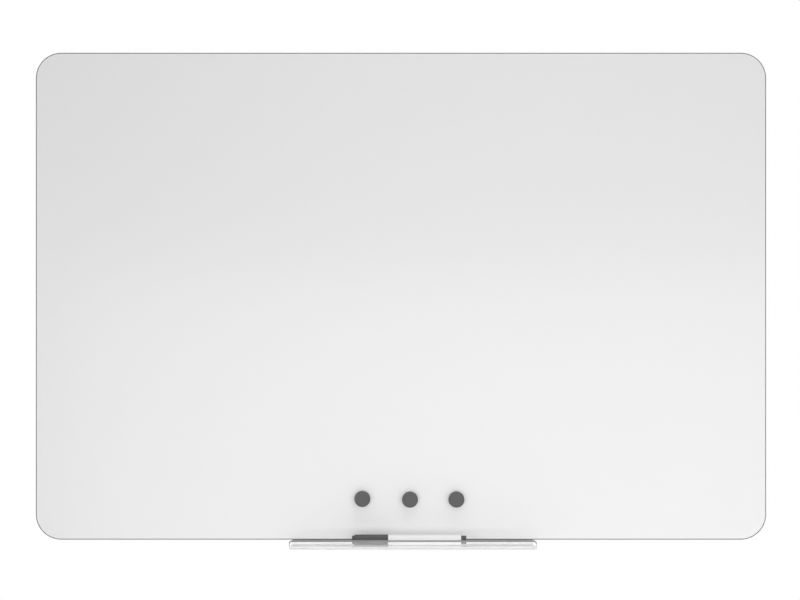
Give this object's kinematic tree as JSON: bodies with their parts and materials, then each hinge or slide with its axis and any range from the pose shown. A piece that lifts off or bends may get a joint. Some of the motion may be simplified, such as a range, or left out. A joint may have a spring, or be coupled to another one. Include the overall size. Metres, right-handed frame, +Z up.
{
  "type": "frameless magnetic whiteboard",
  "caption": "Frameless steel-faced whiteboard with rounded corners, hidden keyhole brackets, a clear tray, a capped marker and round magnets.",
  "frame": {"origin": "on the wall plane, midway between the four keyholes, which is the middle of the board", "axes": "+X to the reader's right, +Z up, and -Y out of the writing face into the room"},
  "size_m": [0.9144, 0.063, 0.6167],
  "materials": {
    "lacquered_steel": "white semi-gloss lacquer",
    "fibreboard": "pressed fibre",
    "galvanised_steel": "galvanised, dull",
    "edging": "satin grey",
    "zinc_brackets": "zinc plated",
    "zinc_screws": "zinc plated",
    "clear_acrylic": "clear, polished",
    "white_plastic": "satin moulded",
    "pale_plastic": "satin moulded",
    "dark_plastic": "satin moulded",
    "felt": "pressed fibre",
    "ink_fibre": "ink-soaked fibre",
    "magnet_plastic": "fine moulded grain",
    "magnet_steel": "plain",
    "ferrite": "ground, unglazed"
  },
  "bodies": {
    "board": {"writing_sheet": "lacquered_steel", "panel_core": "fibreboard", "backing_sheet": "galvanised_steel", "edge_band": "edging", "hanger_top_left": "zinc_brackets", "hanger_top_right": "zinc_brackets", "hanger_bottom_left": "zinc_brackets", "hanger_bottom_right": "zinc_brackets", "hanger_screws": "zinc_screws", "tray": "clear_acrylic", "tray_washers": "zinc_screws", "tray_screws": "zinc_screws"},
    "marker": {"marker_barrel": "white_plastic", "marker_end_plug": "dark_plastic", "marker_nib_holder": "pale_plastic", "marker_nib": "felt", "marker_reservoir": "ink_fibre"},
    "cap": {"marker_cap": "dark_plastic"},
    "magnet_left": {"magnet_left_housing": "magnet_plastic", "magnet_left_plate": "magnet_steel", "magnet_left_disc": "ferrite"},
    "magnet_middle": {"magnet_middle_housing": "magnet_plastic", "magnet_middle_plate": "magnet_steel", "magnet_middle_disc": "ferrite"},
    "magnet_right": {"magnet_right_housing": "magnet_plastic", "magnet_right_plate": "magnet_steel", "magnet_right_disc": "ferrite"}
  },
  "joints": [
    {"name": "marker_lift", "type": "slide", "parent": "board", "child": "marker", "axis": [0, 0, 1], "range_m": [0, 0.06]},
    {"name": "cap_pull", "type": "slide", "parent": "marker", "child": "cap", "axis": [-1, 0, 0], "range_m": [0, 0.045]},
    {"name": "magnet_left_slide", "type": "slide", "parent": "board", "child": "magnet_left", "axis": [0, 0, 1], "range_m": [-0.04, 0.547]},
    {"name": "magnet_middle_slide", "type": "slide", "parent": "board", "child": "magnet_middle", "axis": [0, 0, 1], "range_m": [-0.039, 0.548]},
    {"name": "magnet_right_slide", "type": "slide", "parent": "board", "child": "magnet_right", "axis": [0, 0, 1], "range_m": [-0.039, 0.548]}
  ]
}
